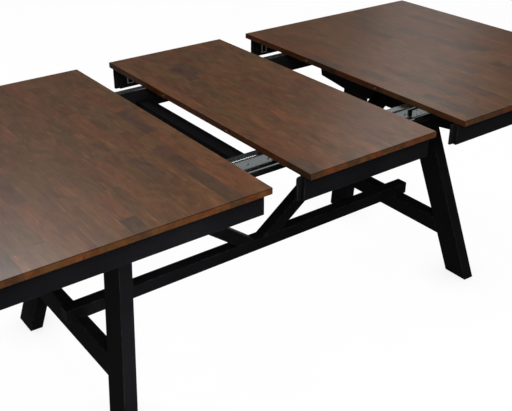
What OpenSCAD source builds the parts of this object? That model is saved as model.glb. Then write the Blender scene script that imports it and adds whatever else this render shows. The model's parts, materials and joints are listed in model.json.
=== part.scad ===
// Extension dining table: two half tops slide apart on a splayed trestle base, and a leaf drops
// in between them. The half tops stand pulled out, each open_gap away from the leaf.
// Origin: on the floor, under the middle of the table. X runs along the table, Y across it, Z up.
// Each piece is modelled on the right (+X) or at the back (+Y), then turned or mirrored to its place.

/* [Table top] */
// Height of the top surface above the floor
table_h = 762; // [720:1:800]
// Width of the top
table_w = 1067; // [1000:1:1200]
// Length of each half top
half_l = 838; // [780:1:950]
// Length of the leaf
leaf_l = 457; // [420:1:500]
// Thickness of the boards
board_t = 18; // [16:0.5:25]
// Gap between the leaf and each half top as pulled out
open_gap = 118.5; // [80:0.5:130]

/* [Aprons] */
// Height of the half tops' aprons
apron_h = 65; // [60:1:80]
// Height of the leaf's aprons
leaf_apron_h = 68; // [60:1:80]
// Thickness of the aprons
apron_t = 19; // [17:0.5:25]
// Overhang of the boards past the aprons
overhang = 23.5; // [15:0.5:35]
// How far the leaf's aprons and the tongued aprons stay back from a seam
apron_set = 1; // [0.5:0.5:4]
// How far the rebated aprons of the half tops stay back from a seam
rebate_set = 7.5; // [4:0.5:9]
// How far an apron's tongue reaches past the apron's end
tongue_l = 13; // [12:0.5:16]
// Thickness of a tongue
tongue_t = 7.5; // [6:0.5:9]
// Drop from the board to the top of a tongue
tongue_drop = 3; // [2:0.5:12]
// Radius of a tongue's upper corner
tongue_r = 7.5; // [4:0.5:10]
// Side of the triangular corner blocks
block_w = 45; // [30:1:60]
// Height of the corner blocks
block_h = 50; // [30:1:60]

/* [Trestles] */
// Distance from the middle of the table to a leg's inner face, on the floor
foot_x = 678.4; // [640:0.1:700]
// Distance from the table's centre line to the middle of a leg, on the floor
foot_y = 325; // [310:1:345]
// Outward lean of each trestle, in degrees
lean = 10.3; // [8:0.1:12]
// Sideways splay of the legs, in degrees
splay = 14.7; // [13:0.1:16]
// Thickness of the legs, crossbars and beams
leg_t = 41; // [38:0.5:46]
// Width of the legs
leg_w = 89; // [80:1:100]
// Height of the beams under the rails
beam_h = 87; // [76:1:100]
// Half length of the beams
beam_y = 340; // [335:1:360]
// Rise of the beams' underside at the ends
beam_rise = 18; // [10:1:30]
// Height of the crossbars' inner faces above the floor
crossbar_z = 148; // [120:1:200]
// Width of the crossbars, measured up their slope
crossbar_h = 62.5; // [54:0.5:70]
// Thickness of a tenon
tenon_t = 14; // [10:0.5:18]
// Width of a tenon
tenon_w = 36; // [25:1:40]
// Length of a tenon
tenon_l = 35; // [25:1:45]

/* [Stretcher and braces] */
// Side of the square stretcher and braces
bar_w = 43; // [36:1:48]
// How deep the stretcher is let into the inner faces of the crossbars
stretcher_let = 3; // [2:0.5:12]
// How far the stretcher runs past the crossbars
stretcher_over = 23; // [10:1:40]
// Distance between the braces where they meet the stretcher
brace_gap = 33; // [20:1:60]
// Drop from the top of a beam to the top of its brace
brace_drop = 22; // [16:1:26]

/* [Rails] */
// Thickness of the side rails
rail_t = 28; // [26:0.5:32]
// Height of the side rails
rail_h = 63.5; // [60:0.5:70]
// Distance from the table's centre line to the inner face of a side rail
rail_y = 297; // [285:1:305]
// How far the side rails run past the beams
rail_over = 50; // [20:1:60]
// Height of the full-thickness strip under the slide
strip_h = 15; // [12:0.5:18]
// Width of the cross rails
cross_w = 45; // [40:1:80]
// Thickness of the cross rails
cross_t = 28; // [24:1:32]
// Distance from the middle of the table to the middle of a cross rail
cross_x = 236.5; // [200:0.5:280]

/* [Slides] */
// Length of each slide member
slide_l = 360; // [340:1:370]
// Distance from the middle of the table to the end of a track
slide_end = 8; // [2:1:12]
// Depth of a closed slide
slide_d = 13; // [12.5:0.1:14]
// Thickness of the slide steel
steel_t = 1.5; // [1.2:0.1:1.8]
// Radius of the rounded rims of the tracks
rim_r = 5; // [4:0.1:5.2]
// Height of the lips below the rims
lip_h = 2; // [1:0.5:3.5]
// Radius of the other bends of the slide members
bend_r = 2.5; // [2:0.1:2.6]
// Diameter of the bearing balls
ball_d = 4; // [3.5:0.1:4.4]
// Balls in one row
ball_n = 5; // [3:1:6]
// Distance between the balls of a row
ball_pitch = 24; // [15:1:26]
// Thickness of the ball cages
cage_t = 1; // [0.8:0.1:1.4]
// Width of the ball cages
cage_w = 7; // [6:0.1:7.4]
// Diameter of the round holes in the carriers
port_d = 8; // [6:0.5:10]
// Distance between those holes
port_pitch = 69; // [55:1:80]
// Distance from a carrier's end to its first hole
port_set = 13; // [10:1:25]
// Diameter of the small holes near the arms' ends
eye_d = 4; // [3:0.5:5]
// Distance between those holes, and from the arm's end to the first of them
eye_pitch = 20; // [15:1:25]

/* [Runners] */
// Thickness of the runners under the half tops
runner_t = 20; // [18:0.5:26]
// Height of the runners
runner_h = 52; // [46:1:56]
// How far the runners stay back from the seam
runner_set = 100; // [60:1:110]

/* [Seam pins] */
// Diameter of the seam pins
pin_d = 8; // [6:0.5:10]
// How far a seam pin stands out of its board
pin_out = 9; // [6:0.5:11]
// How far a seam pin is let into its board
pin_in = 20; // [15:1:30]
// Distance from the table's centre line to a seam pin
pin_y = 170; // [100:1:250]

/* [Latches] */
// Distance from a seam to the latch pivots and to the staples
latch_set = 50; // [42:1:60]
// Height of the latches' middle under the boards
latch_drop = 35; // [32:1:42]
// Width of a hook
hook_w = 14; // [13:0.5:15]
// Thickness of a hook
hook_t = 3; // [2:0.5:4]
// Length of the hook past its notch
hook_tip = 9; // [6:0.5:12]
// Diameter of the hook pivots
pivot_d = 5; // [4:0.5:6]
// Distance from the apron to the middle of a hook
hook_off = 9; // [8.5:0.1:11]
// Length of the pivot bracket's plate
bracket_l = 44; // [40:1:50]
// Height of the pivot bracket's plate
bracket_h = 24; // [20:1:28]
// Thickness of the pivot bracket
bracket_t = 2; // [1.5:0.1:2.5]
// Wire diameter of the staples
wire_d = 4; // [3:0.2:4.4]
// Width of a staple between its wires' centres
staple_w = 20; // [16:1:26]
// Height of a staple between its wires' centres
staple_h = 28; // [20:1:30]
// How far a staple is driven into the apron
staple_in = 12; // [8:0.5:15]

/* [Leaf pads] */
// Distance between the slide tracks and the boards that pass over them
board_lift = 4; // [3:0.5:6]
// Side of the square felt pads under the leaf
pad_w = 20; // [15:1:26]
// Distance from the middle of the table to a pad
pad_x = 190; // [120:1:200]

/* [Screws] */
// Diameter of the wood screws
screw_d = 4; // [3:0.5:4.5]
// Diameter of the lag screws
lag_d = 6; // [5:0.5:7]
// Diameter of the small screws of the latch brackets
tack_d = 3; // [2.5:0.1:3.2]
// How deep a wood screw goes into the board, runner or rail that holds it
bite = 12; // [8:0.5:14]
// How deep a lag screw goes into the piece that holds it
lag_bite = 35; // [25:1:40]

/* [Hidden] */
$fn = 48;

// Clearances
fit = 0.1;          // round a glued or screwed-in piece, on each side
run_fit = 0.05;     // between a pivot and its hole, on the radius
seat_gap = 0.3;     // between flat faces of pieces that move apart
pin_fit = 0.4;      // between a seam pin and its hole, on the radius
end_fit = 1;        // past the end of a pin, tongue or tenon in its hole
ball_gap = 0.2;     // between a ball and each race
web_gap = 0.7;      // between the webs and lips of nested slide members
arm_gap = 0.6;      // between the tracks and the runners that pass them
notch_fit = 0.3;    // between a hook's notch and the staple, on each side
cut_spare = 10;     // how far a cut runs past the piece it cuts
far = 3000;         // side of a block that cuts at the floor or at a level

// Heights
under_z = table_h - board_t;
apron_z = under_z - apron_h;
leaf_apron_z = under_z - leaf_apron_h;
track_top_z = under_z - board_lift;
rail_top_z = track_top_z - steel_t;
rail_z = rail_top_z - rail_h;
track_z = rail_z + strip_h + seat_gap;
slide_z = (track_z + track_top_z) / 2;
tongue_z = under_z - tongue_drop;
stretcher_z = crossbar_z + crossbar_h * cos(lean) - stretcher_let;
stretcher_top_z = stretcher_z + bar_w;
latch_z = under_z - latch_drop;

// Places along and across the table
seam_x = leaf_l / 2 + open_gap;
end_x = seam_x + half_l;
apron_end_x = end_x - overhang;
side_y = table_w / 2;
apron_y = side_y - overhang - apron_t;
track_y = rail_y + rail_t - slide_d;
rail_out_y = rail_y + rail_t;
runner_y = rail_out_y + arm_gap;
runner_x = seam_x + runner_set;
rail_x = outer_x(rail_z) + rail_over;
stretcher_x = outer_x(stretcher_z) + stretcher_over;
bolt_x = (inner_x(crossbar_z) + outer_x(stretcher_z)) / 2;
hook_y = apron_y - hook_off;

// Trestle faces at a height above the floor
function inner_x(z) = foot_x - z * tan(lean);
function outer_x(z) = inner_x(z) + leg_t / cos(lean);

// Trestle outline in its own leaning plane: w runs up the plane, y across
beam_w = (rail_z - beam_h) / cos(lean);
beam_top_w = rail_z / cos(lean) + cut_spare;
crossbar_w = crossbar_z / cos(lean);
crossbar_top_w = crossbar_w + crossbar_h;
crossbar_mid_w = crossbar_w + crossbar_h / 2;
leg_half = leg_w / 2 / cos(splay);
function leg_y(w) = foot_y - w * tan(splay);

// Braces
brace_end_z = rail_z - brace_drop;
brace_end_x = inner_x(brace_end_z);
brace_slope = (brace_end_z - stretcher_top_z) / (brace_end_x - brace_gap / 2);
brace_foot = bar_w / sin(atan(brace_slope));
brace_low_x = (inner_x(stretcher_top_z) + (brace_gap / 2 + brace_foot) * brace_slope * tan(lean))
    / (1 + brace_slope * tan(lean));
brace_low_z = stretcher_top_z + (brace_low_x - brace_gap / 2 - brace_foot) * brace_slope;
brace_screw_x = brace_gap / 2 + brace_foot / 2;
brace_screw_w = (brace_end_z + brace_low_z) / 2 / cos(lean);

// Slide members: half heights of their outer faces, and the sides of their webs
track_half = (track_top_z - track_z) / 2 - steel_t;
carrier_half = track_half - ball_d - 2 * ball_gap;
arm_half = carrier_half - steel_t - ball_d - 2 * ball_gap;
carrier_y = track_y + steel_t + web_gap;
carrier_tip_y = rail_out_y - steel_t - web_gap;
arm_tip_y = carrier_y + steel_t + web_gap;
track_ball_y = (track_y + rail_out_y) / 2;
arm_ball_y = (carrier_y + steel_t + runner_y - steel_t) / 2;
track_ball_z = track_half - ball_gap - ball_d / 2;
arm_ball_z = carrier_half - steel_t - ball_gap - ball_d / 2;
cage_l = (ball_n - 1) * ball_pitch + 2 * cage_w;
port_n = floor((slide_l - 2 * port_set) / port_pitch) + 1;

// Screw heads and where the screws sit
screw_head = 2 * screw_d;
lag_head = 10 / 6 * lag_d;
track_screw_xs = [slide_end + slide_l * 0.12, slide_end + slide_l / 2, slide_end + slide_l * 0.88];
arm_screw_xs = [seam_x + runner_set + slide_l / 12, seam_x + runner_set + slide_l / 3,
    seam_x + slide_end + slide_l - slide_l / 12];
runner_screw_xs = [for (k = [0.08, 0.5, 0.92]) runner_x * (1 - k) + (apron_end_x - apron_t) * k];
cross_screw_x = cross_w / 4;
cross_screw_z = rail_z + strip_h + screw_head;
bracket_screw_x = bracket_l / 2 - screw_head / 2;

// ---------- Helpers ----------

// A point list along a circle of radius r round c, from angle a to angle b
function arc(c, r, a, b, n = 6) =
    [for (i = [0:n]) let (t = a + (b - a) * i / n) [c[0] + r * cos(t), c[1] + r * sin(t)]];

function unit(v) = v / norm(v);
// The direction that bisects the path at point i, scaled so that both sides stay parallel
function mitre(p, i) = let (
        d0 = i == 0 ? unit(p[1] - p[0]) : unit(p[i] - p[i - 1]),
        d1 = i == len(p) - 1 ? d0 : unit(p[i + 1] - p[i]),
        m = unit(d0 + d1))
    [-m[1], m[0]] / (m * d1);
// The outline of sheet of thickness t bent along path p
function bent(p, t) = concat(
    [for (i = [0:len(p) - 1]) p[i] + mitre(p, i) * t / 2],
    [for (i = [len(p) - 1:-1:0]) p[i] - mitre(p, i) * t / 2]);

module steel() color("#9ba1a2") children();
module bright() color("#c2c6c7") children();
module black() color("#171719") children();
module timber() color("#8a6549") children();

// Turned half round about the table's middle, from the right-hand end to the left-hand end
module turned() rotate([0, 0, 180]) children();
// Mirrored from the back of the table to the front
module to_front() mirror([0, 1, 0]) children();
// At the front and at the back
module front_and_back() { children(); to_front() children(); }
// At both ends
module both_ends() { children(); turned() children(); }

// An outline in Y and Z, run along X
module along_x(x0, x1) translate([x0, 0, 0]) rotate([90, 0, 90]) linear_extrude(x1 - x0) children();
// An outline in X and Z, run along Y
module along_y(y0, y1) translate([0, y1, 0]) rotate([90, 0, 0]) linear_extrude(y1 - y0) children();
// A box between two corners
module block(a, b) translate(a) cube(b - a);
// Everything above height z
module above(z) block([-far, -far, z], [far, far, z + far]);
// Into the right-hand trestle's leaning frame: x through the boards, y across, z up the slope
module leaning() translate([foot_x, 0, 0]) rotate([0, -lean, 0]) children();

// A round bar from p along direction d ("x", "-x", "y", "-y", "z" or "-z")
function turn(d) = d == "x" ? [0, 90, 0] : d == "-x" ? [0, -90, 0] : d == "y" ? [-90, 0, 0]
    : d == "-y" ? [90, 0, 0] : d == "z" ? [0, 0, 0] : [180, 0, 0];
module rod(p, d, l, r) translate(p) rotate(turn(d)) cylinder(h = l, r = r);
// A screw whose head lies under its seat at p, with a shank of length l; gap widens it to its hole
module flat_screw(p, d, l, dia, gap = 0) translate(p) rotate(turn(d)) {
    cylinder(h = dia / 2, r1 = dia + gap, r2 = dia / 2 + gap);
    cylinder(h = l + gap, r = dia / 2 + gap);
}
// A screw whose head stands on its seat at p
module pan_screw(p, d, l, dia) translate(p) rotate(turn(d)) {
    translate([0, 0, -dia / 2]) cylinder(h = dia / 2, r = dia);
    translate([0, 0, -dia / 4]) cylinder(h = l + dia / 4, r = dia / 2);
}
// A lag screw with its head sunk below p, and the counterbored hole that it sits in
module lag_screw(p, d, l) translate(p) rotate(turn(d)) {
    translate([0, 0, lag_d]) cylinder(h = lag_d, r = lag_head / 2);
    translate([0, 0, lag_d]) cylinder(h = l - lag_d, r = lag_d / 2);
}
module lag_hole(p, d, l) translate(p) rotate(turn(d)) {
    translate([0, 0, -cut_spare]) cylinder(h = 2 * lag_d + cut_spare, r = lag_head / 2 + fit);
    translate([0, 0, lag_d]) cylinder(h = l - lag_d + end_fit, r = lag_d / 2 + fit);
}

// ---------- Trestles, for the right-hand end ----------

// A tenon at the top of the back leg; grow widens it to its mortise
module leg_tenon(grow = 0)
    block([leg_t / 2 - tenon_t / 2 - grow, leg_y(beam_w) - tenon_w / 2 - grow, beam_w - tenon_l],
        [leg_t / 2 + tenon_t / 2 + grow, leg_y(beam_w) + tenon_w / 2 + grow,
            beam_w + tenon_l + grow * end_fit / fit]);

// A tenon at the crossbar's back end
module crossbar_tenon(grow = 0)
    block([leg_t / 2 - tenon_t / 2 - grow, leg_y(crossbar_mid_w) - leg_half - tenon_l,
            crossbar_mid_w - tenon_w / 2 - grow],
        [leg_t / 2 + tenon_t / 2 + grow, leg_y(crossbar_mid_w) - leg_half + tenon_l
            + grow * end_fit / fit, crossbar_mid_w + tenon_w / 2 + grow]);

module leg() black() difference() {
    leaning() difference() {
        union() {
            along_x(0, leg_t) polygon([for (c = [[-leg_t, -1], [-leg_t, 1], [beam_w, 1], [beam_w, -1]])
                [leg_y(c[0]) + c[1] * leg_half, c[0]]]);
            leg_tenon();
        }
        crossbar_tenon(fit);
    }
    block([-far, -far, -far], [far, far, 0]);
}

module beam() black() difference() {
    leaning() difference() {
        along_x(0, leg_t) polygon([for (s = [1, -1]) for (c = s > 0 ?
                [[leg_y(beam_w) + leg_half, beam_w], [beam_y, beam_w + beam_rise], [beam_y, beam_top_w]] :
                [[beam_y, beam_top_w], [beam_y, beam_w + beam_rise], [leg_y(beam_w) + leg_half, beam_w]])
            [s * c[0], c[1]]]);
        front_and_back() leg_tenon(fit);
        brace_lag_hole();
    }
    above(rail_z);
    rail_lag_holes();
}

// The notch in a crossbar that the stretcher lies in
module stretcher_notch() block([0, -bar_w / 2 - fit, stretcher_z], [far, bar_w / 2 + fit, far]);
module crossbar() black() difference() {
    leaning() union() {
        along_x(0, leg_t) polygon([for (c = [[-1, crossbar_w], [1, crossbar_w], [1, crossbar_top_w],
            [-1, crossbar_top_w]]) [c[0] * (leg_y(c[1]) - leg_half), c[1]]]);
        front_and_back() crossbar_tenon();
    }
    stretcher_notch();
    stretcher_lag_hole();
}

// ---------- Stretcher and braces ----------

module stretcher() black() difference() {
    block([-stretcher_x, -bar_w / 2, stretcher_z], [stretcher_x, bar_w / 2, stretcher_top_z]);
    both_ends() {
        stretcher_lag_hole();
        foot_lag_hole();
    }
}

module brace() black() difference() {
    along_y(-bar_w / 2, bar_w / 2) polygon([[brace_gap / 2, stretcher_top_z],
        [brace_gap / 2 + brace_foot, stretcher_top_z], [brace_low_x, brace_low_z],
        [brace_end_x, brace_end_z]]);
    foot_lag_hole();
    leaning() brace_lag_hole();
}

// ---------- Rails ----------

// The back rail: full thickness at the bottom, and rebated above that for the slides
module rail() black() difference() {
    along_x(-rail_x, rail_x) polygon([[rail_y, rail_z], [rail_out_y, rail_z],
        [rail_out_y, rail_z + strip_h], [track_y, rail_z + strip_h], [track_y, rail_top_z],
        [rail_y, rail_top_z]]);
    both_ends() front_and_back() {
        rail_lag_hole();
        for (x = track_screw_xs) track_screw(x, fit);
        for (x = [-1, 1]) cross_screw(cross_x + x * cross_screw_x, fit);
    }
}

module cross_rail() difference() {
    block([cross_x - cross_w / 2, -rail_y, rail_z], [cross_x + cross_w / 2, rail_y, rail_z + cross_t]);
    front_and_back() for (x = [-1, 1]) cross_screw(cross_x + x * cross_screw_x, fit);
}

// ---------- Frame screws ----------

rail_lag_x = (inner_x(rail_z) + outer_x(rail_z)) / 2;
rail_lag_y = (rail_y + track_y) / 2;
module rail_lag() lag_screw([rail_lag_x, rail_lag_y, rail_top_z], "-z", rail_h + lag_bite);
module rail_lag_hole() lag_hole([rail_lag_x, rail_lag_y, rail_top_z], "-z", rail_h + lag_bite);
module rail_lag_holes() front_and_back() rail_lag_hole();
module stretcher_lag() lag_screw([bolt_x, 0, crossbar_z], "z", crossbar_h + bar_w / 2);
module stretcher_lag_hole() lag_hole([bolt_x, 0, crossbar_z], "z", crossbar_h + bar_w / 2);
module foot_lag() lag_screw([brace_screw_x, 0, stretcher_z], "z", bar_w + lag_bite / 2);
module foot_lag_hole() lag_hole([brace_screw_x, 0, stretcher_z], "z", bar_w + lag_bite / 2);
// In the leaning frame, through the beam into the end of the brace
module brace_lag() lag_screw([leg_t, 0, brace_screw_w], "-x", leg_t + lag_bite);
module brace_lag_hole() lag_hole([leg_t, 0, brace_screw_w], "-x", leg_t + lag_bite);
// Flat screws through a track into its rail, and through a rail into the cross rails
module track_screw(x, gap = 0)
    flat_screw([x, track_y + steel_t, slide_z], "-y", steel_t + bite, screw_d, gap);
module cross_screw(x, gap = 0)
    flat_screw([x, track_y, cross_screw_z], "-y", rail_t - slide_d + lag_bite, screw_d, gap);

module frame_screws() bright() both_ends() {
    front_and_back() {
        rail_lag();
        for (x = track_screw_xs) track_screw(x);
        for (x = [-1, 1]) cross_screw(cross_x + x * cross_screw_x);
    }
    stretcher_lag();
    foot_lag();
    leaning() brace_lag();
}

// ---------- Slides, for the right-hand end and the back ----------

// The upper half of a channel bent from sheet: web at y0, flange out to y1, half height h
function flange(y0, y1, h) = let (s = sign(y1 - y0), r = bend_r - steel_t / 2)
    [for (p = arc([y0 + s * bend_r, h - bend_r], r, s > 0 ? 180 : 0, 90)) p,
        [y1, h - steel_t / 2]];
// A rounded rim and the lip under it, at y1
function rim(y1, h) = concat(arc([y1 - rim_r, h - rim_r], rim_r - steel_t / 2, 90, 0),
    [[y1 - steel_t / 2, h - rim_r - lip_h]]);
// The upper half with such a rim at y1
function rimmed(y0, y1, h) = let (f = flange(y0, y1, h))
    concat([for (i = [0:len(f) - 2]) f[i]], rim(y1, h));
// The lower half that mirrors an upper one, from its open end to its web
function lower(half) = [for (i = [len(half) - 1:-1:0]) [half[i][0], -half[i][1]]];
// The sheet along an upper half and its mirror image below the slide's middle
module channel(half) translate([0, slide_z]) polygon(bent(concat(lower(half), half), steel_t));

// A track: one sheet over the rail's top to the upper rim, and one from the lower rim up to it
track_mid = track_half + steel_t / 2;
module track() steel() difference() {
    along_x(slide_end, slide_end + slide_l) translate([0, slide_z]) union() {
        polygon(bent(concat([[rail_y, track_mid]], rim(rail_out_y, track_half + steel_t)), steel_t));
        polygon(bent(concat(lower(rimmed(track_y, rail_out_y, track_half + steel_t)),
            [[track_y + steel_t / 2, track_mid]]), steel_t));
    }
    for (x = track_screw_xs) track_screw(x, fit);
}

module carrier() steel() difference() {
    along_x(slide_end + seam_x / 2, slide_end + seam_x / 2 + slide_l)
        channel(flange(carrier_y, carrier_tip_y, carrier_half));
    for (i = [0:port_n - 1])
        rod([slide_end + seam_x / 2 + port_set + i * port_pitch, carrier_y - cut_spare / 4, slide_z],
            "y", cut_spare / 2, port_d / 2);
}

module arm() steel() difference() {
    along_x(slide_end + seam_x, slide_end + seam_x + slide_l)
        channel(flange(runner_y, arm_tip_y, arm_half));
    for (x = arm_screw_xs) rod([x, runner_y - cut_spare / 2, slide_z], "y", cut_spare, screw_d / 2 + fit);
    for (x = [1, 2], z = [-arm_half / 2, arm_half / 2])
        rod([slide_end + seam_x + x * eye_pitch, runner_y - cut_spare / 2, slide_z + z], "y", cut_spare, eye_d / 2);
}

// A pair of ball cages, above and below, centred at x; the balls run at y and at +-z
module cages(x, y, z) for (s = [-1, 1]) translate([x, y, slide_z + s * z]) {
    color("#d8d4c8") difference() {
        cube([cage_l, cage_w, cage_t], center = true);
        for (i = [0:ball_n - 1]) translate([(i - (ball_n - 1) / 2) * ball_pitch, 0, -cage_t])
            cylinder(h = 2 * cage_t, r = ball_d / 2 + fit);
    }
    bright() for (i = [0:ball_n - 1]) translate([(i - (ball_n - 1) / 2) * ball_pitch, 0, 0])
        sphere(r = ball_d / 2);
}
module track_cages() front_and_back()
    cages(slide_end + slide_l / 2 + seam_x / 4, track_ball_y, track_ball_z);
module arm_cages() front_and_back()
    cages(slide_end + slide_l / 2 + seam_x * 3 / 4, arm_ball_y, arm_ball_z);

// ---------- Half tops, for the right-hand end ----------

// Holes in a board's edge at x for the pins of the neighbour, running towards direction d
module seam_holes(x, d) for (s = [-1, 1])
    rod([x, s * pin_y, table_h - board_t / 2], d, pin_out + end_fit, pin_d / 2 + pin_fit);
module seam_sockets(x, d) for (s = [-1, 1])
    rod([x, s * pin_y, table_h - board_t / 2], d, pin_in + end_fit, pin_d / 2 + fit);
// Pins that stand out of a board's edge at x, towards -X
module seam_pins(x) timber() for (s = [-1, 1]) translate([0, s * pin_y, table_h - board_t / 2]) {
    rod([x - pin_out + pin_d / 2, 0, 0], "x", pin_in + pin_out - pin_d / 2, pin_d / 2);
    translate([x - pin_out + pin_d / 2, 0, 0]) sphere(r = pin_d / 2);
}

module half_board() difference() {
    block([seam_x, -side_y, under_z], [end_x, side_y, table_h]);
    front_and_back() for (x = runner_screw_xs) runner_screw_hole(x);
}

// An apron at the back, from x0 to x1 and down to z0, rebated inside at x0 for a tongue
module back_apron(x0, x1, z0) difference() {
    block([x0, apron_y, z0], [x1, apron_y + apron_t, under_z]);
    block([x0 - cut_spare, apron_y - cut_spare, z0 - cut_spare],
        [x0 + tongue_l, apron_y + tongue_t + end_fit / 2, tongue_z + end_fit]);
}

// The same apron at the front, with a tongue at x0
module front_apron(x0, x1, z0) union() {
    block([x0, -apron_y - apron_t, z0], [x1, -apron_y, under_z]);
    along_y(-apron_y - tongue_t, -apron_y) polygon(concat(
        [[x0 + tongue_l, z0], [x0 - tongue_l, z0]],
        arc([x0 - tongue_l + tongue_r, tongue_z - tongue_r], tongue_r, 180, 90),
        [[x0 + tongue_l, tongue_z]]));
}

module end_apron() black()
    block([apron_end_x - apron_t, -apron_y, apron_z], [apron_end_x, apron_y, under_z]);

module runner() black() difference() {
    block([runner_x, runner_y, under_z - runner_h], [apron_end_x - apron_t, runner_y + runner_t, under_z]);
    for (x = runner_screw_xs) runner_screw_hole(x);
    for (x = arm_screw_xs) rod([x, runner_y - end_fit, slide_z], "y", bite + 2 * end_fit, screw_d / 2 + fit);
}

module corner_block() black() translate([apron_end_x - apron_t, apron_y, under_z - block_h])
    linear_extrude(block_h) polygon([[0, 0], [-block_w, 0], [0, -block_w]]);

// Screws up through a runner into the board
module runner_screw(x) translate([x, runner_y + runner_t / 2, under_z - runner_h + screw_d]) {
    cylinder(h = screw_d / 2, r = screw_d);
    cylinder(h = runner_h - screw_d + bite, r = screw_d / 2);
}
module runner_screw_hole(x) translate([x, runner_y + runner_t / 2, under_z - runner_h - cut_spare]) {
    cylinder(h = cut_spare + screw_d * 3 / 2, r = screw_d + fit);
    cylinder(h = cut_spare + runner_h + bite + end_fit, r = screw_d / 2 + fit);
}

module half_screws() bright() front_and_back() {
    for (x = runner_screw_xs) runner_screw(x);
    for (x = arm_screw_xs)
        pan_screw([x, runner_y - steel_t, slide_z], "y", steel_t + bite, screw_d);
}

// ---------- Latches ----------

// A hook at the front, its pivot at x, folded back along the apron away from the seam at its left.
// It swings half a turn over the seam, where its notch closes on the neighbour's staple.
hook_reach = 2 * latch_set + seat_gap - staple_w / 2;
module hook(x) steel() translate([x, -hook_y, latch_z - hook_t / 2]) linear_extrude(hook_t) difference() {
    union() {
        circle(r = hook_w / 2);
        translate([0, -hook_w / 2]) square([hook_reach + hook_tip - hook_w / 2, hook_w]);
        translate([hook_reach + hook_tip - hook_w / 2, 0]) circle(r = hook_w / 2);
    }
    circle(r = pivot_d / 2 + run_fit);
    translate([hook_reach, 0]) circle(r = wire_d / 2 + notch_fit);
    translate([hook_reach - wire_d / 2 - notch_fit, 0]) square([wire_d + 2 * notch_fit, hook_w]);
}

// The hook's pivot bracket at x: a plate on the apron, two ears and the pivot pin
ear_z = hook_t / 2 + seat_gap;
module hook_bracket(x) translate([x, 0, latch_z]) {
    steel() difference() {
        union() {
            block([-bracket_l / 2, -apron_y, -bracket_h / 2],
                [bracket_l / 2, -apron_y + bracket_t, bracket_h / 2]);
            for (s = [0, 1]) mirror([0, 0, s]) translate([0, 0, ear_z]) linear_extrude(bracket_t) {
                translate([0, -hook_y]) circle(r = hook_w / 2);
                translate([-hook_w / 2, -apron_y]) square([hook_w, hook_off]);
            }
        }
        rod([0, -hook_y, -bracket_h / 2], "z", bracket_h, pivot_d / 2 + run_fit);
        for (s = [-1, 1]) bracket_screw(s * bracket_screw_x, fit);
    }
    bright() {
        rod([0, -hook_y, -ear_z - bracket_t], "z", 2 * (ear_z + bracket_t), pivot_d / 2);
        for (s = [-1, 1]) bracket_screw(s * bracket_screw_x);
    }
}
module bracket_screw(x, gap = 0) flat_screw([x, -apron_y + bracket_t, 0], "-y", bracket_t + bite, tack_d, gap);
module bracket_holes(x) translate([x, 0, latch_z]) for (s = [-1, 1]) bracket_screw(s * bracket_screw_x, fit);

// The U-shaped staple at the back, at x, driven into the apron
module staple(x) steel() translate([x, apron_y, latch_z]) {
    for (s = [-1, 1]) {
        rod([s * staple_w / 2, -hook_off, staple_h / 2], "y", hook_off + staple_in, wire_d / 2);
        rod([s * staple_w / 2, -hook_off, -staple_h / 2], "z", staple_h, wire_d / 2);
        for (z = [-1, 1]) translate([s * staple_w / 2, -hook_off, z * staple_h / 2]) sphere(r = wire_d / 2);
    }
    rod([-staple_w / 2, -hook_off, -staple_h / 2], "x", staple_w, wire_d / 2);
}
module staple_holes(x) for (s = [-1, 1])
    rod([x + s * staple_w / 2, apron_y - end_fit, latch_z + staple_h / 2], "y",
        staple_in + 2 * end_fit, wire_d / 2 + fit);

// ---------- Nodes: base ----------

module front_rail() to_front() rail();
module back_rail() rail();
module cross_rails() black() both_ends() cross_rail();
module left_beam() turned() beam();
module right_beam() beam();
module left_front_leg() turned() leg();
module left_back_leg() turned() to_front() leg();
module right_front_leg() to_front() leg();
module right_back_leg() leg();
module left_crossbar() turned() crossbar();
module right_crossbar() crossbar();
module left_brace() turned() brace();
module right_brace() brace();

// ---------- Nodes: slides ----------

module left_front_track() turned() track();
module left_back_track() turned() to_front() track();
module right_front_track() to_front() track();
module right_back_track() track();
module left_front_carrier() turned() carrier();
module left_back_carrier() turned() to_front() carrier();
module right_front_carrier() to_front() carrier();
module right_back_carrier() carrier();
module left_track_cages() turned() track_cages();
module left_arm_cages() turned() arm_cages();
module right_track_cages() track_cages();
module right_arm_cages() arm_cages();

// ---------- Nodes: half tops ----------

module half_front_apron() black() difference() {
    front_apron(seam_x + apron_set, apron_end_x, apron_z);
    bracket_holes(seam_x + latch_set);
}
module half_back_apron() black() difference() {
    back_apron(seam_x + rebate_set, apron_end_x, apron_z);
    staple_holes(seam_x + latch_set);
}
module half_latch_fixings() { hook_bracket(seam_x + latch_set); staple(seam_x + latch_set); }

module left_board() timber() turned() difference() { half_board(); seam_holes(seam_x, "x"); }
module left_front_apron() turned() half_back_apron();
module left_back_apron() turned() half_front_apron();
module left_end_apron() turned() end_apron();
module left_front_runner() turned() runner();
module left_back_runner() turned() to_front() runner();
module left_corner_blocks() turned() front_and_back() corner_block();
module left_front_arm() turned() arm();
module left_back_arm() turned() to_front() arm();
module left_top_screws() turned() half_screws();
module left_latch_fixings() turned() half_latch_fixings();
module left_hook() turned() hook(seam_x + latch_set);

module right_board() timber() difference() { half_board(); seam_sockets(seam_x, "x"); }
module right_front_apron() half_front_apron();
module right_back_apron() half_back_apron();
module right_end_apron() end_apron();
module right_front_runner() to_front() runner();
module right_back_runner() runner();
module right_corner_blocks() front_and_back() corner_block();
module right_front_arm() to_front() arm();
module right_back_arm() arm();
module right_top_screws() half_screws();
module right_latch_fixings() half_latch_fixings();
module right_hook() hook(seam_x + latch_set);
module right_seam_pins() seam_pins(seam_x);

// ---------- Nodes: leaf ----------

module leaf_board() timber() difference() {
    block([-leaf_l / 2, -side_y, under_z], [leaf_l / 2, side_y, table_h]);
    seam_sockets(-leaf_l / 2, "x");
    seam_holes(leaf_l / 2, "-x");
}
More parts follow.
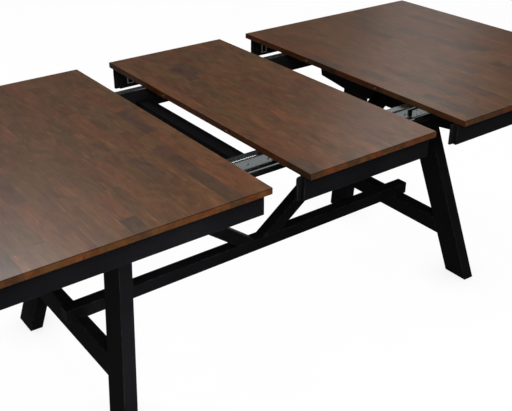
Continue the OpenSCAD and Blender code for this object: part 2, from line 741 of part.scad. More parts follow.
// The leaf's front apron: a tongue at its left end, a rebate at its right end
module leaf_front_apron() black() difference() {
    intersection() {
        front_apron(-leaf_l / 2 + apron_set, leaf_l / 2 - apron_set, leaf_apron_z);
        union() {
            turned() back_apron(-leaf_l / 2 + apron_set, leaf_l / 2 - apron_set, leaf_apron_z);
            block([-leaf_l, -side_y, leaf_apron_z], [0, 0, under_z]);
        }
    }
    bracket_holes(-leaf_l / 2 + latch_set);
    turned() staple_holes(-leaf_l / 2 + latch_set);
}
module leaf_back_apron() turned() leaf_front_apron();
module leaf_pads() color("#3a3a3a") both_ends() front_and_back()
    translate([pad_x - pad_w / 2, rail_y + rail_t / 2 - pad_w / 2, track_top_z + seat_gap])
        cube([pad_w, pad_w, board_lift - seat_gap]);
module leaf_seam_pins() seam_pins(-leaf_l / 2);
module leaf_latch_fixings() both_ends() {
    hook_bracket(-leaf_l / 2 + latch_set);
    staple(-leaf_l / 2 + latch_set);
}
module leaf_front_hook() hook(-leaf_l / 2 + latch_set);
module leaf_back_hook() turned() leaf_front_hook();

front_rail();
back_rail();
cross_rails();
left_beam();
right_beam();
left_front_leg();
left_back_leg();
right_front_leg();
right_back_leg();
left_crossbar();
right_crossbar();
stretcher();
left_brace();
right_brace();
frame_screws();
left_front_track();
left_back_track();
right_front_track();
right_back_track();
left_front_carrier();
left_back_carrier();
right_front_carrier();
right_back_carrier();
left_track_cages();
left_arm_cages();
right_track_cages();
right_arm_cages();
left_board();
left_front_apron();
left_back_apron();
left_end_apron();
left_front_runner();
left_back_runner();
left_corner_blocks();
left_front_arm();
left_back_arm();
left_top_screws();
left_latch_fixings();
left_hook();
right_board();
right_front_apron();
right_back_apron();
right_end_apron();
right_front_runner();
right_back_runner();
right_corner_blocks();
right_front_arm();
right_back_arm();
right_top_screws();
right_latch_fixings();
right_hook();
right_seam_pins();
leaf_board();
leaf_front_apron();
leaf_back_apron();
leaf_pads();
leaf_seam_pins();
leaf_latch_fixings();
leaf_front_hook();
leaf_back_hook();
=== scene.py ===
# %% [markdown]
# # An extension dining table
#
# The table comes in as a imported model: one object for each wooden or steel piece, in metres, with
# X along the table, Y across it and Z up. This notebook gives those pieces their finish. The shapes
# stay where they are; what changes is how their edges and surfaces look.

# %% Set up
import json
import math

import bmesh
import bpy
import numpy as np
from mathutils import Matrix, Vector


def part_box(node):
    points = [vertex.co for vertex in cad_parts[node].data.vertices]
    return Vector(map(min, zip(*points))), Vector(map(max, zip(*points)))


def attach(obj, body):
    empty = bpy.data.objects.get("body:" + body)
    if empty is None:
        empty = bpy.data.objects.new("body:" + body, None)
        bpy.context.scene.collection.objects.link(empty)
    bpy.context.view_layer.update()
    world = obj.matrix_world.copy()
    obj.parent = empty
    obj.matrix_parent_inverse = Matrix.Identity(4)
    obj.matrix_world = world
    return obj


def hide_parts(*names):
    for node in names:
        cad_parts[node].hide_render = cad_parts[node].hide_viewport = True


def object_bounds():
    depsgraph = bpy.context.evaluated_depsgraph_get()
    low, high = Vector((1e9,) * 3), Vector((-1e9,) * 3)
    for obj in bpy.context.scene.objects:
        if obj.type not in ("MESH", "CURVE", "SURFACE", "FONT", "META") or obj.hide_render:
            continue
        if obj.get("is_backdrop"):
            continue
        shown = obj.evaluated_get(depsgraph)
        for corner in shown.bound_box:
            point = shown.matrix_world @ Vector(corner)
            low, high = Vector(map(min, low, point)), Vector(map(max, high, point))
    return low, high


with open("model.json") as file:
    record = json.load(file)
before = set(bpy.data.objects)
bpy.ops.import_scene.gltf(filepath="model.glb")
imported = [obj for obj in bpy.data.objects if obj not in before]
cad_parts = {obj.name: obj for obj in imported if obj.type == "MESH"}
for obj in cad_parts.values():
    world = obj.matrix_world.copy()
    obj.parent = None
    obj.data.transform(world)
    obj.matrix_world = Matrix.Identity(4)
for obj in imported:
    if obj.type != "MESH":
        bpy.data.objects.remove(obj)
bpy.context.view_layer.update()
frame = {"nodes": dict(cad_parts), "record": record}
nodes = frame["nodes"]
record = frame["record"]
body_of = {n: body for body, members in record["behaviour"]["bodies"].items() for n in members}
slot_of = {part["node"]: part["material_slot"] for part in record["subparts"]}

# %% [markdown]
# ## The camera
#
# A product shot of a long table is taken from a little above the top, from a corner, with a lens
# long enough that the far end doesn't shrink too much. A camera's own axes are three unit vectors:
# right, up and backwards. They follow here from three turns: a heading, a tilt and a slight roll.

# %% Camera
HEADING, TILT, ROLL = math.radians(36.786), math.radians(28.5797), math.radians(-0.2067)
LENS_MM = 56.907
EYE_PLACE = (-1.41496, -1.89399, 1.65488)

def camera_turn(heading, tilt, roll):
    """Turn about Z by the heading, then tip down by the tilt, then roll about the line of sight."""
    return (Matrix.Rotation(-heading, 4, "Z") @ Matrix.Rotation(math.pi / 2 - tilt, 4, "X")
            @ Matrix.Rotation(-roll, 4, "Z"))

eye = bpy.data.cameras.new("eye")
eye.lens = LENS_MM
camera = bpy.data.objects.new("camera", eye)
camera.matrix_world = Matrix.Translation(EYE_PLACE) @ camera_turn(HEADING, TILT, ROLL)
bpy.context.scene.collection.objects.link(camera)
bpy.context.scene.camera = camera
print("camera looks along", [round(v, 4) for v in -camera.matrix_world.col[2].xyz])

# %% [markdown]
# ## Helpers for shader nodes
#
# A shader is a graph. Writing it node by node is long, so a few helpers place a node, wire what it
# is given and hand back its output.

# %% Node helpers
def put(tree, kind, inputs=(), **settings):
    """Place a node, set its settings, and fill its inputs with numbers, colours or other outputs."""
    node = tree.nodes.new("ShaderNode" + kind)
    for key, value in settings.items():
        setattr(node, key, value)
    for key, value in dict(inputs).items():
        if isinstance(value, bpy.types.NodeSocket):
            tree.links.new(value, node.inputs[key])
        else:
            node.inputs[key].default_value = value
    return node

def calc(tree, operation, *values):
    """One step of arithmetic on outputs or numbers."""
    return put(tree, "Math", enumerate(values), operation=operation).outputs[0]

def ramp01(tree, value, low, high):
    """0 up to low, 1 from high, and a smooth step in between."""
    node = put(tree, "MapRange", {"Value": value, "From Min": low, "From Max": high},
               interpolation_type="SMOOTHSTEP")
    return node.outputs["Result"]

def blend_colours(tree, share, a, b, kind="MIX"):
    """Colour a where share is 0, and b (or a times b) where it is 1."""
    node = tree.nodes.new("ShaderNodeMix")
    node.data_type, node.blend_type = "RGBA", kind
    for socket, value in ((node.inputs[0], share), (node.inputs[6], a), (node.inputs[7], b)):
        if isinstance(value, bpy.types.NodeSocket):
            tree.links.new(value, socket)
        else:
            socket.default_value = value if isinstance(value, (int, float)) else (*value, 1)
    return node.outputs[2]

def new_group(name, inputs, outputs):
    """An empty node group with named float, vector or colour sockets."""
    tree = bpy.data.node_groups.new(name, "ShaderNodeTree")
    kinds = {"f": "NodeSocketFloat", "v": "NodeSocketVector", "c": "NodeSocketColor"}
    for direction, sockets in (("INPUT", inputs), ("OUTPUT", outputs)):
        for label, kind in sockets.items():
            tree.interface.new_socket(label, in_out=direction, socket_type=kinds[kind])
    return tree, tree.nodes.new("NodeGroupInput"), tree.nodes.new("NodeGroupOutput")

def use(tree, group, inputs=()):
    """Place a node group in a material."""
    return put(tree, "Group", inputs, node_tree=group)

def new_material(name, **plain):
    """A material with an empty Principled BSDF, and the plain numbers of its sockets."""
    material = bpy.data.materials.new(name)
    material.use_nodes = True
    tree = material.node_tree
    shader = tree.nodes["Principled BSDF"]
    for key, value in plain.items():
        shader.inputs[key.replace("_", " ")].default_value = value
    place = put(tree, "TexCoord").outputs["Object"]
    return material, tree, shader, place

helpers = (put, calc, ramp01, blend_colours, new_group, use, new_material)
print("helpers:", [helper.__name__ for helper in helpers])

# %% [markdown]
# ## Background
#
# A cut-out product picture has a white background and a dim studio around it. The world holds both.
# A ray from the camera sees plain white. A ray that lights the table sees only a weak even fill, so
# the faces that look away from the lamps go dark. A ray that a shiny surface sends on sees white low
# down, as from a pale floor that runs to the horizon, and above that the dim studio, so that the
# lamps alone draw the sheen on the tops.

# %% World
scene = bpy.context.scene
scene.view_settings.view_transform = "Standard"
FILL = 0.02
BAND_TOP, BAND_END = 0.04, 0.14    # the slopes of a ray at which the white starts to fade and ends

def seen_ray(tree, height=1.0):
    """1 on a ray from the camera, and the given share on one from a gloss or a clear material."""
    path = put(tree, "LightPath").outputs
    sent_on = calc(tree, "MAXIMUM", path["Is Glossy Ray"], path["Is Transmission Ray"])
    total = put(tree, "Math", {0: calc(tree, "MULTIPLY", sent_on, height), 1: path["Is Camera Ray"]},
                operation="ADD", use_clamp=True)
    return total.outputs[0]

world = bpy.data.worlds.new("studio")
scene.world = world
world.use_nodes = True
tree = world.node_tree
tree.nodes.clear()
fill = put(tree, "Background", {"Color": (1, 1, 1, 1), "Strength": FILL})
white = put(tree, "Background", {"Color": (1, 1, 1, 1)})
upward = put(tree, "SeparateXYZ", {0: put(tree, "TexCoord").outputs["Generated"]}).outputs["Z"]
low_band = put(tree, "MapRange", {"Value": upward, "From Min": BAND_TOP, "From Max": BAND_END,
                                  "To Min": 1.0, "To Max": 0.0})
seen = put(tree, "MixShader", {0: seen_ray(tree, low_band.outputs["Result"]),
                               1: fill.outputs[0], 2: white.outputs[0]})
put(tree, "OutputWorld", {"Surface": seen.outputs[0]})
print("fill light:", FILL)

# %% [markdown]
# ## Lamps
#
# Soft light comes from broad area lamps. The key, the front and the side lamp stand in front of the
# table, one hangs above it, and a small narrow one picks out the nearest leg. The three sheen lamps
# stand behind: their light glances off the lacquer towards the camera and greys the tops.

# %% Lamps
def lamp(name, place, target, wide, high, watts, spread=180):
    """An oblong area lamp facing a target: its axis -Z is the unit vector from place to target."""
    data = bpy.data.lights.new(name, "AREA")
    data.shape, data.size, data.size_y, data.energy = "RECTANGLE", wide, high, watts
    data.spread = math.radians(spread)
    obj = bpy.data.objects.new(name, data)
    obj.location = place
    obj.visible_camera = False
    obj.rotation_mode = "QUATERNION"
    obj.rotation_quaternion = (Vector(target) - Vector(place)).to_track_quat("-Z", "Y")
    scene.collection.objects.link(obj)
    return obj

lamp("key", (-1.0, -2.2, 2.6), (-0.2, 0, 0.6), 1.6, 1.6, 65)
lamp("front", (0.4, -3.6, 2.4), (0.2, 0, 0.6), 2.4, 2.4, 26)
lamp("above", (1.3, -0.3, 3.8), (0.0, -0.1, 0.6), 1.2, 1.2, 60)
lamp("side", (-1.5, -2.3, 1.7), (-0.7, -0.5, 0.76), 1.2, 1.0, 23)
lamp("leg", (-0.5, -2.0, 0.5), (-0.62, -0.35, 0.36), 0.4, 0.4, 1.1, 35)
lamp("near_sheen", (0.1, 3.6, 4.9), (-0.9, -0.5, 0.76), 1.0, 1.0, 129)
lamp("far_sheen", (5.65, 4.6, 5.13), (0.4, 0, 0.76), 1.5, 2.5, 23)
lamp("low_sheen", (6.36, 4.8, 2.9), (0.9, 0.2, 0.76), 1.2, 1.2, 2.8)

# %% [markdown]
# ## Floor
#
# The floor is one large square just under the feet. The camera sees it almost white, with a little
# of the table's shadow, and with a painted shade, a faint grey drawn from ambient occlusion, where
# the feet stand close to it. For the light that it throws back up at the table it is a darker grey,
# or the undersides would be too bright.

# %% Floor
FLOOR_HALF, FLOOR_DROP = 30.0, 0.0005
FLOOR_SEEN, FLOOR_PALE, FLOOR_BOUNCE = 0.975, 0.95, 0.25
# The reach and the grey of the painted shade near the feet.
CONTACT_SHADE_REACH, CONTACT_SHADE_GREY = 0.14, 0.80
floor_mesh = bpy.data.meshes.new("floor")
corners = np.array([[-1, -1, 0], [1, -1, 0], [1, 1, 0], [-1, 1, 0]], float) * FLOOR_HALF
floor_mesh.from_pydata((corners - [0, 0, FLOOR_DROP]).tolist(), [], [(0, 1, 2, 3)])
floor = bpy.data.objects.new("floor", floor_mesh)
scene.collection.objects.link(floor)
floor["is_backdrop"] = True

paper = bpy.data.materials.new("paper")
paper.use_nodes = True
tree = paper.node_tree
tree.nodes.clear()
matt = put(tree, "BsdfDiffuse", {"Color": (*[FLOOR_BOUNCE] * 3, 1)})
pale = put(tree, "BsdfDiffuse", {"Color": (*[FLOOR_PALE] * 3, 1)})
# Painted shade: the white that the camera sees is greyed near the feet by ambient occlusion.
shade_near_feet = put(tree, "AmbientOcclusion", {"Distance": CONTACT_SHADE_REACH})
painted_contact_shade = put(tree, "MapRange", {"Value": shade_near_feet.outputs["AO"], "To Min": CONTACT_SHADE_GREY})
bright = put(tree, "Emission", {"Strength": painted_contact_shade.outputs["Result"]})
shown = put(tree, "MixShader", {0: FLOOR_SEEN, 1: pale.outputs[0], 2: bright.outputs[0]})
either = put(tree, "MixShader", {0: seen_ray(tree), 1: matt.outputs[0], 2: shown.outputs[0]})
put(tree, "OutputMaterial", {"Surface": either.outputs[0]})
floor_mesh.materials.append(paper)
print("floor:", 2 * FLOOR_HALF, "m square")

# %% [markdown]
# ## Staves
#
# The top is butcher block: sticks of one width lie side by side, and in each row sticks of different
# lengths follow end to end. A row's number is the whole part of x over the width. Along the row,
# y over the length is shifted by a random amount for each row and stretched here and there by noise,
# and its whole part numbers the stick. Those two whole numbers feed white noise, which gives each
# stick a tone and a hue of its own, and moves its grain to another part of the tree.

# %% Group: staves
JOINT_WIDTH = 0.0009
staves, group_in, group_out = new_group(
    "staves", {"Place": "v", "Width": "f", "Length": "f"},
    {"Tone": "f", "Hue": "f", "Joint": "f", "Grain place": "v"})
axes = put(staves, "SeparateXYZ", {0: group_in.outputs["Place"]})
row_at = calc(staves, "DIVIDE", axes.outputs["X"], group_in.outputs["Width"])
row = calc(staves, "FLOOR", row_at)
row_random = put(staves, "TexWhiteNoise", {"W": row}, noise_dimensions="1D").outputs["Value"]
stretch_at = put(staves, "CombineXYZ", {"X": calc(staves, "MULTIPLY", row, 3.7),
                                        "Y": calc(staves, "MULTIPLY", axes.outputs["Y"], 2.3)})
stretch = put(staves, "TexNoise", {"Vector": stretch_at.outputs[0], "Scale": 1.0, "Detail": 0.0})
stick_at = calc(staves, "ADD", calc(staves, "DIVIDE", axes.outputs["Y"], group_in.outputs["Length"]),
                calc(staves, "ADD", calc(staves, "MULTIPLY", row_random, 9.0),
                     calc(staves, "MULTIPLY", stretch.outputs["Fac"], 2.2)))
stick = calc(staves, "FLOOR", stick_at)
cell = put(staves, "CombineXYZ", {"X": row, "Y": stick}).outputs[0]
cell_random = put(staves, "TexWhiteNoise", {"Vector": cell}, noise_dimensions="3D")
hue_random = put(staves, "TexWhiteNoise", {"Vector": cell, "W": 5.0}, noise_dimensions="4D")

def to_edge(at, size):
    """Distance in metres from a point of a row of equal cells to the nearer end of its cell."""
    part = calc(staves, "FRACT", at)
    nearer = calc(staves, "MINIMUM", part, calc(staves, "SUBTRACT", 1.0, part))
    return calc(staves, "MULTIPLY", nearer, size)

gap = calc(staves, "MINIMUM", to_edge(row_at, group_in.outputs["Width"]),
           to_edge(stick_at, group_in.outputs["Length"]))
joint = calc(staves, "SUBTRACT", 1.0, ramp01(staves, gap, 0.0, JOINT_WIDTH))
moved = put(staves, "VectorMath", {0: group_in.outputs["Place"], 1: cell_random.outputs["Color"]},
            operation="ADD")
for name, value in (("Tone", cell_random.outputs["Value"]), ("Hue", hue_random.outputs["Value"]),
                    ("Joint", joint), ("Grain place", moved.outputs[0])):
    staves.links.new(value, group_out.inputs[name])
print("staves give:", [socket.name for socket in group_out.inputs if socket.name])

# %% [markdown]
# ## Grain
#
# Wood fibres run along the stick, so every grain pattern is noise squeezed across the fibres. There
# are five: broad growth bands, fine dark pores, fine pale flecks, a cloudy flame, and knots. A knot
# is the middle of a cell of a Voronoi pattern, in those cells whose random colour passes a limit.

# %% Group: grain
grain, group_in, group_out = new_group(
    "grain", {"Place": "v", "Across": "f"},
    {"Band": "f", "Pore": "f", "Knot": "f", "Flame": "f", "Fleck": "f"})

def squeezed(across, along):
    """The place with its three axes scaled, so that noise stretches along Y."""
    scale = put(grain, "CombineXYZ", {"X": across, "Y": along, "Z": across})
    return put(grain, "VectorMath", {0: group_in.outputs["Place"], 1: scale.outputs[0]},
               operation="MULTIPLY").outputs[0]

knot_cells = put(grain, "TexVoronoi", {"Vector": squeezed(7.0, 4.5), "Scale": 1.0})
chosen = put(grain, "SeparateColor", {0: knot_cells.outputs["Color"]}).outputs["Red"]
near = calc(grain, "SUBTRACT", 1.0, ramp01(grain, knot_cells.outputs["Distance"], 0.03, 0.16))
knot = calc(grain, "MULTIPLY", near, ramp01(grain, chosen, 0.72, 0.74))
bent = put(grain, "TexNoise", {"Vector": squeezed(6.0, 1.6), "Scale": 1.0, "Detail": 2.0})
bands_at = put(grain, "VectorMath", {0: squeezed(group_in.outputs["Across"], 2.4),
                                     1: calc(grain, "MULTIPLY", bent.outputs["Fac"], 9.0)},
               operation="ADD").outputs[0]
bands = put(grain, "TexNoise", {"Vector": bands_at, "Scale": 1.0, "Detail": 4.0, "Roughness": 0.6})
pores = put(grain, "TexNoise", {"Vector": squeezed(620.0, 22.0), "Scale": 1.0, "Detail": 2.0})
flecks = put(grain, "TexNoise", {"Vector": squeezed(430.0, 12.0), "Scale": 1.0, "Detail": 2.0})
flame = put(grain, "TexNoise", {"Vector": squeezed(34.0, 13.0), "Scale": 1.0, "Detail": 6.0,
                                "Roughness": 0.62, "Distortion": 0.8})
for name, value in (("Band", bands.outputs["Fac"]),
                    ("Pore", ramp01(grain, pores.outputs["Fac"], 0.56, 0.72)), ("Knot", knot),
                    ("Flame", flame.outputs["Fac"]),
                    ("Fleck", ramp01(grain, flecks.outputs["Fac"], 0.57, 0.72))):
    grain.links.new(value, group_out.inputs[name])
print("grain gives:", [socket.name for socket in group_out.inputs if socket.name])

# %% [markdown]
# ## Finish: stained and lacquered staves
#
# The stain is a mid brown with some orange in it. Most sticks stay close to each other in tone, a few
# are darker, and each leans a little to red or to olive. The lacquer gives the level faces a satin
# sheen that greys them when seen at a low angle. The sawn edges have hardly any, so they stay
# orange, and their sticks differ more in hue. The rounded arrises between them are darker.
# Each board so gets three finishes of the same staves, which run on from face to face.

# %% Material: the tops
LIGHT_STAVE, MID_STAVE = (0.088, 0.0420, 0.0195), (0.077, 0.0369, 0.0175)
DARK_STAVE = (0.053, 0.0290, 0.0178)
RED_STAVE, OLIVE_STAVE = (1.14, 0.92, 0.90), (0.94, 1.05, 0.98)
FLAME_DARK, FLAME_LIGHT = (0.80, 0.81, 0.83), (1.21, 1.19, 1.15)
BAND_SHADE, PORE_SHADE, FLECK_SHADE = (0.84, 0.82, 0.80), (0.55, 0.5, 0.48), (1.9, 1.75, 1.6)
KNOT_SHADE, JOINT_SHADE = (0.42, 0.36, 0.33), (0.5, 0.46, 0.44)
EDGE_TINT, ARRIS_TINT = (0.98, 0.86, 0.72), (0.40, 0.36, 0.36)
STAVE_LENGTH = 0.20
TOP_GLOSS, SAWN_GLOSS = 0.3, 0.01

def top_wood(name, start, width, seed, gloss, tint=(1, 1, 1), spread=0.75):
    """Staved wood whose first row begins at x = start, with its own random sticks.
    The spread sets how far the sticks differ in hue."""
    material, tree, shader, place = new_material(name, IOR=1.5, Specular_IOR_Level=gloss)
    moved = put(tree, "Mapping", {"Vector": place, "Location": (-start, seed, 0)})
    sticks = use(tree, staves, {"Place": moved.outputs[0], "Width": width,
                               "Length": STAVE_LENGTH})
    fibres = use(tree, grain, {"Place": sticks.outputs["Grain place"], "Across": 55.0})
    tone = put(tree, "ValToRGB", {0: sticks.outputs["Tone"]})
    stops = tone.color_ramp.elements
    stops[0].position, stops[0].color = 0.085, (*DARK_STAVE, 1)
    stops[1].position, stops[1].color = 1.0, (*LIGHT_STAVE, 1)
    for position, stain in ((0.10, [0.92 * c for c in MID_STAVE]), (0.55, MID_STAVE)):
        stops.new(position).color = (*stain, 1)
    hue = blend_colours(tree, sticks.outputs["Hue"], OLIVE_STAVE, RED_STAVE)
    warm = blend_colours(tree, spread, tone.outputs[0], hue, "MULTIPLY")
    flamed = blend_colours(tree, ramp01(tree, fibres.outputs["Flame"], 0.34, 0.66),
                           blend_colours(tree, 1.0, warm, FLAME_DARK, "MULTIPLY"),
                           blend_colours(tree, 1.0, warm, FLAME_LIGHT, "MULTIPLY"))
    colour = blend_colours(tree, ramp01(tree, fibres.outputs["Band"], 0.30, 0.72), flamed,
                           BAND_SHADE, "MULTIPLY")
    for mark, strength, shade in ((fibres.outputs["Pore"], 0.5, PORE_SHADE),
                                  (fibres.outputs["Fleck"], 0.85, FLECK_SHADE),
                                  (fibres.outputs["Knot"], 0.75, KNOT_SHADE),
                                  (sticks.outputs["Joint"], 0.45, JOINT_SHADE)):
        share = calc(tree, "MULTIPLY", mark, strength)
        colour = blend_colours(tree, share, colour, shade, "MULTIPLY")
    tinted = blend_colours(tree, 1.0, colour, tint, "MULTIPLY")
    tree.links.new(tinted, shader.inputs["Base Color"])
    rough = calc(tree, "ADD", 0.26, calc(tree, "MULTIPLY", fibres.outputs["Band"], 0.08))
    tree.links.new(rough, shader.inputs["Roughness"])
    height = calc(tree, "SUBTRACT", calc(tree, "MULTIPLY", fibres.outputs["Band"], 0.3),
                  calc(tree, "ADD", fibres.outputs["Pore"], sticks.outputs["Joint"]))
    bump = put(tree, "Bump", {"Height": height, "Strength": 0.25, "Distance": 0.0003})
    tree.links.new(bump.outputs[0], shader.inputs["Normal"])
    return material

STAVE_ROWS = {"left_board": 20, "right_board": 20, "leaf_board": 11}
SEED_STEP = 3.1
top_materials = {}
for seed, (node, rows) in enumerate(STAVE_ROWS.items()):
    low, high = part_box(node)
    stave = (high.x - low.x) / rows
    rows_at = (low.x, stave, SEED_STEP * seed)
    top_materials[node] = (top_wood("staved_" + node, *rows_at, TOP_GLOSS),
                           top_wood("sawn_" + node, *rows_at, SAWN_GLOSS, EDGE_TINT, 1.0),
                           top_wood("arris_" + node, *rows_at, SAWN_GLOSS, ARRIS_TINT))
    print(node, "staves", round(1000 * stave, 1), "mm wide")

# %% [markdown]
# ## Finish: black paint on wood
#
# The aprons and the trestles are painted black over a close-grained wood. The paint is nearly flat,
# so it returns little light, and the grain shows through it only as a faint ripple. The rounded
# arrises catch a greyish line of light, so a second version, for them alone, paints that highlight in
# as pale spots.
# The grain group draws its fibres along Y, so each painted piece takes a version whose
# pattern is turned to run with its longest side.

# %% Material: black paint
DEEP_BLACK, SOFT_BLACK = (0.0053, 0.0053, 0.0060), (0.0073, 0.0073, 0.0081)
PORE_BLACK = (0.0035, 0.0035, 0.0039)
# The pale colour and its share below are a painted highlight: the line of light that a rounded arris
# catches.
ARRIS_HIGHLIGHT_SHARE, ARRIS_HIGHLIGHT_COLOUR = 0.2, (0.075, 0.072, 0.070)

def black_paint(name, turn, worn=False):
    """Flat black on wood, its fibres brought onto Y by a turn. With worn set, pale spots paint in the
    highlight line of a rounded arris.
    """
    material, tree, shader, place = new_material(name, Specular_IOR_Level=0.003, IOR=1.5)
    turned = put(tree, "Mapping", {"Vector": place, "Rotation": turn})
    fibres = use(tree, grain, {"Place": turned.outputs[0], "Across": 90.0})
    blotch = put(tree, "TexNoise", {"Vector": place, "Scale": 9.0, "Detail": 3.0})
    share = ramp01(tree, blotch.outputs["Fac"], 0.3, 0.7)
    colour = blend_colours(tree, calc(tree, "MULTIPLY", fibres.outputs["Pore"], 0.5),
                           blend_colours(tree, share, DEEP_BLACK, SOFT_BLACK), PORE_BLACK)
    if worn:
        # Painted highlight: pale spots for the line of light along a rounded arris.
        spots = put(tree, "TexNoise", {"Vector": place, "Scale": 45.0, "Detail": 3.0})
        highlight_spots = calc(tree, "MULTIPLY", ramp01(tree, spots.outputs["Fac"], 0.38, 0.62), ARRIS_HIGHLIGHT_SHARE)
        colour = blend_colours(tree, highlight_spots, colour, ARRIS_HIGHLIGHT_COLOUR)
    tree.links.new(colour, shader.inputs["Base Color"])
    tree.links.new(calc(tree, "ADD", 0.42, calc(tree, "MULTIPLY", share, 0.12)),
                   shader.inputs["Roughness"])
    height = calc(tree, "SUBTRACT", calc(tree, "MULTIPLY", fibres.outputs["Band"], 0.6),
                  calc(tree, "MULTIPLY", fibres.outputs["Pore"], 0.5))
    bump = put(tree, "Bump", {"Height": height, "Strength": 0.35, "Distance": 0.0004})
    tree.links.new(bump.outputs[0], shader.inputs["Normal"])
    return material

QUARTER = math.pi / 2
FIBRE_TURNS = {"across": (0, 0, 0), "along": (0, 0, QUARTER), "upright": (QUARTER, 0, 0)}
paint = {way: black_paint("black_" + way, turn) for way, turn in FIBRE_TURNS.items()}
# Copies with the painted arris highlight, for the rounded edges only.
arris_highlight_paint = {way: black_paint("arris_highlight_" + way, turn, True) for way, turn in FIBRE_TURNS.items()}
print("paint:", [m.name for m in (*paint.values(), *arris_highlight_paint.values())])

# %% [markdown]
# ## Finish: steel, felt and dowels
#
# The slides are bent from galvanised sheet: dull, with a fine lengthwise brushing from the rollers
# and a faint patchwork of zinc crystals. The hooks, the staples and the brackets with their tacks are
# blackened, and all other screws are bright. The pads are felt, and the seam pins are plain wood.

# %% Materials: small parts
def steel_sheet(name, colour, rough, crystals):
    """Metal whose crystals are Voronoi cells, each a shade apart, crossed by fine rolled lines."""
    material, tree, shader, place = new_material(name, Metallic=1.0)
    cells = put(tree, "TexVoronoi", {"Vector": place, "Scale": crystals})
    shade = put(tree, "SeparateColor", {0: cells.outputs["Color"]}).outputs["Green"]
    line_at = put(tree, "VectorMath", {0: place, 1: (9.0, 900.0, 900.0)}, operation="MULTIPLY")
    lines = put(tree, "TexNoise", {"Vector": line_at.outputs[0], "Scale": 1.0, "Detail": 2.0})
    mixed = blend_colours(tree, calc(tree, "MULTIPLY", shade, 0.7), colour, [0.85 * c for c in colour])
    worn = blend_colours(tree, ramp01(tree, lines.outputs["Fac"], 0.35, 0.75), mixed,
                         (0.86, 0.87, 0.88), "MULTIPLY")
    tree.links.new(worn, shader.inputs["Base Color"])
    tree.links.new(calc(tree, "ADD", rough, calc(tree, "MULTIPLY", shade, 0.04)),
                   shader.inputs["Roughness"])
    bump = put(tree, "Bump", {"Height": lines.outputs["Fac"], "Strength": 0.04, "Distance": 0.0001})
    tree.links.new(bump.outputs[0], shader.inputs["Normal"])
    return material

def felt_pad(name, colour):
    """Felt: short fibres in every direction, so two crossed noises raise and darken the surface."""
    material, tree, shader, place = new_material(name, Roughness=0.95, Specular_IOR_Level=0.1)
    fibres = put(tree, "TexNoise", {"Vector": place, "Scale": 900.0, "Detail": 4.0, "Roughness": 0.7})
    tufts = put(tree, "TexNoise", {"Vector": place, "Scale": 140.0, "Detail": 2.0})
    share = calc(tree, "MULTIPLY", fibres.outputs["Fac"], tufts.outputs["Fac"])
    tree.links.new(blend_colours(tree, share, [0.5 * c for c in colour], [2.2 * c for c in colour]),
                   shader.inputs["Base Color"])
    bump = put(tree, "Bump", {"Height": fibres.outputs["Fac"], "Strength": 0.6, "Distance": 0.0005})
    tree.links.new(bump.outputs[0], shader.inputs["Normal"])
    return material

def dowel_wood(name, colour):
    """Plain turned wood, its fibres along X."""
    material, tree, shader, place = new_material(name, Specular_IOR_Level=0.05)
    turned = put(tree, "Mapping", {"Vector": place, "Rotation": (0, 0, QUARTER)})
    fibres = use(tree, grain, {"Place": turned.outputs[0], "Across": 260.0})
    banded = blend_colours(tree, fibres.outputs["Band"], [1.25 * c for c in colour],
                           [0.7 * c for c in colour])
    pored = blend_colours(tree, calc(tree, "MULTIPLY", fibres.outputs["Pore"], 0.5), banded,
                          [0.4 * c for c in colour])
    tree.links.new(pored, shader.inputs["Base Color"])
    tree.links.new(calc(tree, "ADD", 0.5, calc(tree, "MULTIPLY", fibres.outputs["Pore"], 0.2)),
                   shader.inputs["Roughness"])
    return material

small = {"slide_steel": steel_sheet("galvanised_steel", (0.19, 0.203, 0.203), 0.25, 420.0),
         "latch_steel": steel_sheet("blackened_steel", (0.11, 0.11, 0.11), 0.32, 320.0),
         "screw_steel": steel_sheet("screw_steel", (0.34, 0.34, 0.33), 0.25, 400.0),
         "felt": felt_pad("felt", (0.018, 0.018, 0.020)),
         "pin_wood": dowel_wood("dowel_wood", (0.045, 0.021, 0.011))}
print("small parts:", {slot: material.name for slot, material in small.items()})

# %% [markdown]
# ## Eased edges
#
# No joiner leaves an edge sharp: a few strokes of sandpaper round it, and it then catches a thin
# line of light. A copy of each wooden piece has its loose triangles merged and its flat faces joined
# up. The long sharp outer edges get a bevel weight, and so do the short ones that carry them on
# round an arc, because a bevel that stops half way round leaves the mesh open. A Bevel modifier rounds
# those alone. The rims of the screw holes and the inner corners stay as they are. One fault is known:
# the lips over the aprons' rebates are thinner than two widths of easing, so the easing crosses
# itself there, and the end face then covers a part of the rebate's mouth.

# %% Eased wood
EASE_WIDTH, EASE_STEPS = 0.0015, 3
EASE_ANGLE, EASE_SHORTEST = math.radians(35), 0.006
MERGE_REACH, FLAT_ANGLE = 1e-6, math.radians(0.4)
LEVEL, UPRIGHT, ARRIS = range(3)
LEAST_LEVEL = 0.5

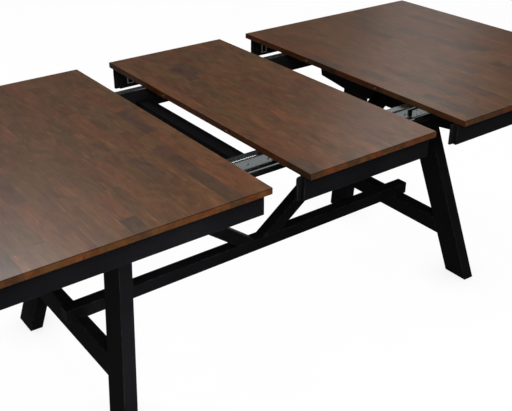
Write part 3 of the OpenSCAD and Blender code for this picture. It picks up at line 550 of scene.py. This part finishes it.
def eased(node, level, upright, arris):
    """A copy of a node with its outer edges sharper than EASE_ANGLE rounded to EASE_WIDTH: the long
    ones, and the short ones joined to them. The three materials are for level faces, upright faces
    and rounded edges."""
    mesh = nodes[node].data.copy()
    mesh.name = node + "_eased"
    work = bmesh.new()
    work.from_mesh(mesh)
    bmesh.ops.remove_doubles(work, verts=work.verts, dist=MERGE_REACH)
    bmesh.ops.dissolve_limit(work, angle_limit=FLAT_ANGLE, verts=work.verts, edges=work.edges)
    weight = work.edges.layers.float.new("bevel_weight_edge")
    sharp = [edge for edge in work.edges if len(edge.link_faces) == 2 and edge.is_convex
             and edge.calc_face_angle() > EASE_ANGLE]
    reached = [edge for edge in sharp if edge.calc_length() > EASE_SHORTEST]
    short = set(sharp) - set(reached)
    for edge in reached:    # the list grows as it is walked
        joined = [other for corner in edge.verts for other in corner.link_edges if other in short]
        reached += joined
        short -= set(joined)
        edge[weight] = 1.0
    count = sum(edge[weight] > 0 for edge in work.edges)
    work.to_mesh(mesh)
    work.free()
    mesh.materials.clear()
    for material in (level, upright, arris):
        mesh.materials.append(material)
    for face in mesh.polygons:
        face.material_index = LEVEL if abs(face.normal.z) >= LEAST_LEVEL else UPRIGHT
    mesh.shade_flat()
    piece = bpy.data.objects.new(node + "_eased", mesh)
    scene.collection.objects.link(piece)
    ease = piece.modifiers.new("ease", "BEVEL")
    ease.limit_method, ease.width, ease.segments = "WEIGHT", EASE_WIDTH, EASE_STEPS
    ease.use_clamp_overlap = False
    ease.material = ARRIS
    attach(piece, body_of[node])
    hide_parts(node)
    return count

def fibre_direction(node):
    """Which way a painted piece's grain runs: with its longest side."""
    low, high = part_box(node)
    return ("along", "across", "upright")[int(np.argmax(high - low))]

LEFT_SHARP = ("cross_rails", "left_corner_blocks", "right_corner_blocks")
edges = {}
for node, slot in slot_of.items():
    if slot == "top_wood":
        edges[node] = eased(node, *top_materials[node])
    elif slot == "black_wood" and node not in LEFT_SHARP:
        way = fibre_direction(node)
        edges[node] = eased(node, paint[way], paint[way], arris_highlight_paint[way])
print("eased edges:", edges)

# %% [markdown]
# ## The pieces that keep their shape
#
# Steel sheet, screws, pads and pins need no easing, and the cross rails and corner blocks, under the
# tops, are left sharp as sawn. All of these stay as they came and only get their finish.

# %% Materials on the pieces that keep their shape
for node, slot in slot_of.items():
    if node not in edges:
        mesh = nodes[node].data
        mesh.materials.clear()
        mesh.materials.append(small.get(slot) or paint["across"])
print("kept as they came:", len(slot_of) - len(edges))

# %% [markdown]
# ## Sizes
#
# The finished table has to be as large as the imported model. Its size is printed.

# %% Sizes
low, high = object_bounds()
print("finished size:", [round(v, 3) for v in high - low])
